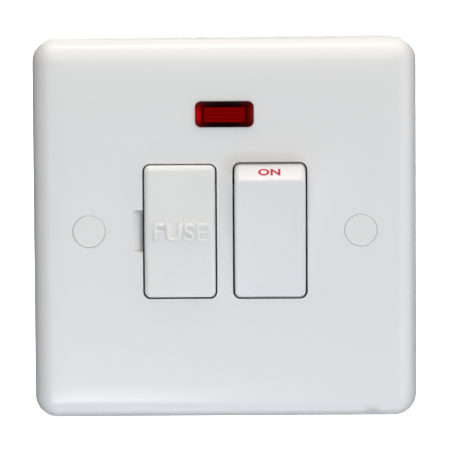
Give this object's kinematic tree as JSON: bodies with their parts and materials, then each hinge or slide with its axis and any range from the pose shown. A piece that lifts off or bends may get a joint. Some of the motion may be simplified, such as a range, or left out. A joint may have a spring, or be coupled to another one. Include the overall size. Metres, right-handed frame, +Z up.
{
  "type": "switched fused connection unit",
  "caption": "Square white wall plate with a pull-out fuse carrier, a rocker switch and a red indicator lens, on a rear housing with wire terminals.",
  "frame": {"origin": "middle of the plate on the wall plane, midway between the two fixing screws", "axes": "+X to the right as seen from the room, +Y into the wall along the fixing screws, +Z up"},
  "size_m": [0.085, 0.0332, 0.085],
  "materials": {
    "plate_plastic": "moulded white urea, softly glossy",
    "cap_plastic": "moulded white plastic",
    "rocker_plastic": "moulded white plastic",
    "carrier_plastic": "moulded white plastic",
    "housing_plastic": "moulded off-white plastic",
    "plunger_plastic": "natural nylon",
    "lens_plastic": "clear red moulded lens",
    "lamp_glass": "clear glass",
    "brass": "drawn brass",
    "screw_brass": "turned brass",
    "plated_brass": "nickel plate",
    "clip_bronze": "rolled phosphor bronze",
    "silver": "contact silver",
    "plated_steel": "zinc plated",
    "spring_steel": "drawn wire",
    "tinned_wire": "tinned copper wire",
    "fuse_ceramic": "glazed white ceramic",
    "resistor_body": "lacquered tan ceramic"
  },
  "bodies": {
    "unit": {"front_plate": "plate_plastic", "screw_cap_left": "cap_plastic", "screw_cap_right": "cap_plastic", "fixing_screws": "plated_steel", "rear_housing": "housing_plastic", "housing_screws": "plated_steel", "terminal_supply_line": "brass", "terminal_supply_neutral": "brass", "terminal_load_line": "brass", "terminal_load_neutral": "brass", "terminal_earth": "brass", "terminal_screws": "screw_brass", "strap_supply_line": "brass", "strap_supply_neutral": "brass", "strap_load_neutral": "brass", "strap_fuse_feed": "brass", "strap_load_line": "brass", "fixed_contact_tips": "silver", "fuse_clip_upper": "clip_bronze", "fuse_clip_lower": "clip_bronze", "neon_lens": "lens_plastic", "neon_lamp": "lamp_glass", "neon_electrodes": "spring_steel", "neon_resistor": "resistor_body", "neon_lead_line": "tinned_wire", "neon_lead_neutral": "tinned_wire"},
    "rocker": {"rocker": "rocker_plastic", "plunger_spring_line": "spring_steel", "plunger_spring_neutral": "spring_steel"},
    "plunger_line": {"plunger_line": "plunger_plastic"},
    "plunger_neutral": {"plunger_neutral": "plunger_plastic"},
    "contact_line": {"moving_contact_line": "brass", "contact_tip_line": "silver"},
    "contact_neutral": {"moving_contact_neutral": "brass", "contact_tip_neutral": "silver"},
    "carrier": {"fuse_carrier": "carrier_plastic", "fuse_barrel": "fuse_ceramic", "fuse_end_caps": "plated_brass"}
  },
  "joints": [
    {"name": "rocker_tilt", "type": "hinge", "parent": "unit", "child": "rocker", "pos_m": [0.01, -0.002, 0], "axis": [-1, 0, 0], "range_deg": [0, 16.6]},
    {"name": "plunger_line_press", "type": "slide", "parent": "rocker", "child": "plunger_line", "axis": [0, -0.9895, -0.1444], "range_m": [0, 0.001], "stiffness_N_per_m": 400, "springref_m": -0.003, "deforming": ["plunger_spring_line"]},
    {"name": "plunger_neutral_press", "type": "slide", "parent": "rocker", "child": "plunger_neutral", "axis": [0, -0.9895, -0.1444], "range_m": [0, 0.001], "stiffness_N_per_m": 400, "springref_m": -0.003, "deforming": ["plunger_spring_neutral"]},
    {"name": "contact_line_rock", "type": "hinge", "parent": "unit", "child": "contact_line", "pos_m": [0.006, 0.0082, 0], "axis": [1, 0, 0], "range_deg": [0, 19]},
    {"name": "contact_neutral_rock", "type": "hinge", "parent": "unit", "child": "contact_neutral", "pos_m": [0.014, 0.0082, 0], "axis": [1, 0, 0], "range_deg": [0, 19]},
    {"name": "carrier_slide", "type": "slide", "parent": "unit", "child": "carrier", "axis": [0, -1, 0], "range_m": [0, 0.0147]}
  ],
  "couplings": [
    {"joint": "contact_line_rock", "follows": "rocker_tilt", "ratio": 1.1446},
    {"joint": "contact_neutral_rock", "follows": "rocker_tilt", "ratio": 1.1446}
  ]
}
